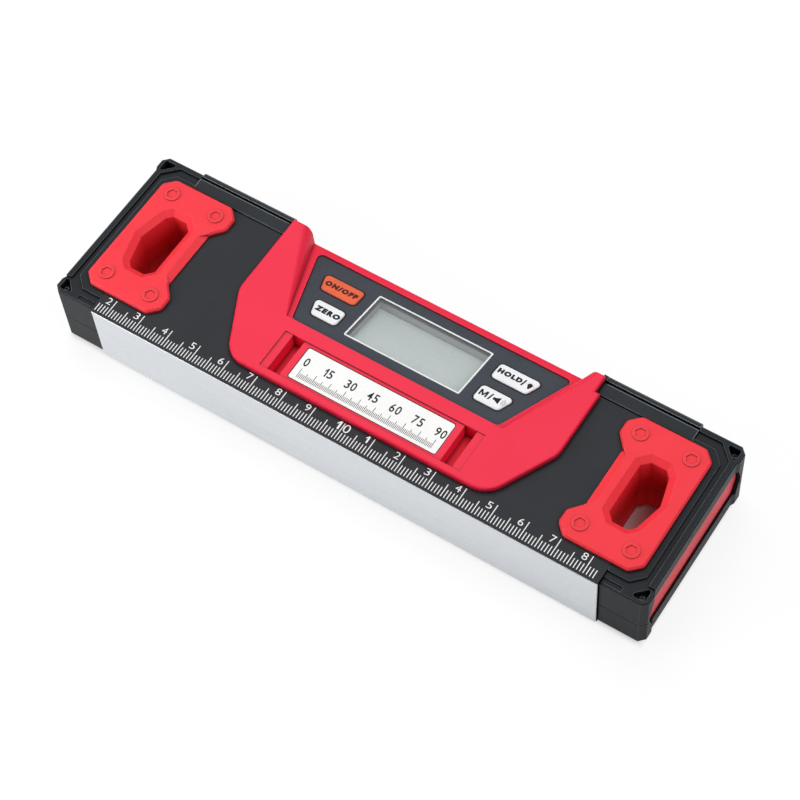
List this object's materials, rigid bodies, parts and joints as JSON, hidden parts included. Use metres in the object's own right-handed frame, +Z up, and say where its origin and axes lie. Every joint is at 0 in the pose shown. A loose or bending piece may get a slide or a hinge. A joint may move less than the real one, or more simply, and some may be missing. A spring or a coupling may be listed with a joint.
{
  "type": "digital protractor",
  "caption": "Short bar-shaped digital protractor with an aluminium measuring edge, a tilted display deck with push keys and a rubber-lined grip hole at each end.",
  "frame": {"origin": "on the ground under the middle of the whole tool, which lies on its rear grips with the display up", "axes": "+X along the tool towards the HOLD key's end, +Y away from the measuring edge towards the back rails, +Z up out of the front face"},
  "size_m": [0.199, 0.058, 0.027],
  "materials": {
    "black_housing": "fine-grained black moulded plastic",
    "red_rubber": "soft matte red rubber",
    "base_aluminium": "fine-blasted, clear-anodised extrusion",
    "red_console": "fine-grained red moulded plastic",
    "grey_bezel": "satin dark grey overlay",
    "clear_window": "clear polished window",
    "pale_frame": "pale grey moulded plastic",
    "display_glass": "blank grey-green liquid crystal display",
    "white_diffuser": "milky light guide",
    "circuit_board": "green solder mask on fibreglass board",
    "dark_component": "black electronic component",
    "orange_key": "satin orange silicone rubber",
    "white_key": "satin white silicone rubber",
    "white_label": "blank white satin plate",
    "cell_jacket": "plain dark jacket",
    "screw_steel": "zinc-plated steel"
  },
  "bodies": {
    "housing": {"front_shell": "black_housing", "rear_shell": "black_housing", "left_cap_front": "black_housing", "left_cap_rear": "black_housing", "right_cap_front": "black_housing", "right_cap_rear": "black_housing", "left_rail": "black_housing", "right_rail": "black_housing", "left_grip_front": "red_rubber", "left_grip_rear": "red_rubber", "right_grip_front": "red_rubber", "right_grip_rear": "red_rubber", "left_end_strip": "red_rubber", "right_end_strip": "red_rubber", "measuring_base": "base_aluminium", "console": "red_console", "display_bezel": "grey_bezel", "display_window": "clear_window", "lcd_frame": "pale_frame", "lcd_panel": "display_glass", "backlight": "white_diffuser", "main_board": "circuit_board", "key_switches": "dark_component", "tilt_sensor": "dark_component", "buzzer": "dark_component", "label_plate": "white_label", "battery_cells": "cell_jacket", "battery_contacts": "screw_steel", "cap_screws": "screw_steel", "housing_screws": "screw_steel", "board_screws": "screw_steel"},
    "on_off_button": {"on_off_key": "orange_key"},
    "zero_button": {"zero_key": "white_key"},
    "hold_button": {"hold_key": "white_key"},
    "mode_button": {"mode_key": "white_key"},
    "cover": {"battery_cover": "black_housing"}
  },
  "joints": [
    {"name": "on_off_press", "type": "slide", "parent": "housing", "child": "on_off_button", "axis": [0, -0.2142, -0.9768], "range_m": [0, 0.0005], "stiffness_N_per_m": 1200},
    {"name": "zero_press", "type": "slide", "parent": "housing", "child": "zero_button", "axis": [0, -0.2142, -0.9768], "range_m": [0, 0.0005], "stiffness_N_per_m": 1200},
    {"name": "hold_press", "type": "slide", "parent": "housing", "child": "hold_button", "axis": [0, -0.2142, -0.9768], "range_m": [0, 0.0005], "stiffness_N_per_m": 1200},
    {"name": "mode_press", "type": "slide", "parent": "housing", "child": "mode_button", "axis": [0, -0.2142, -0.9768], "range_m": [0, 0.0005], "stiffness_N_per_m": 1200},
    {"name": "cover_slide", "type": "slide", "parent": "housing", "child": "cover", "axis": [0, 1, 0], "range_m": [0, 0.008]}
  ]
}
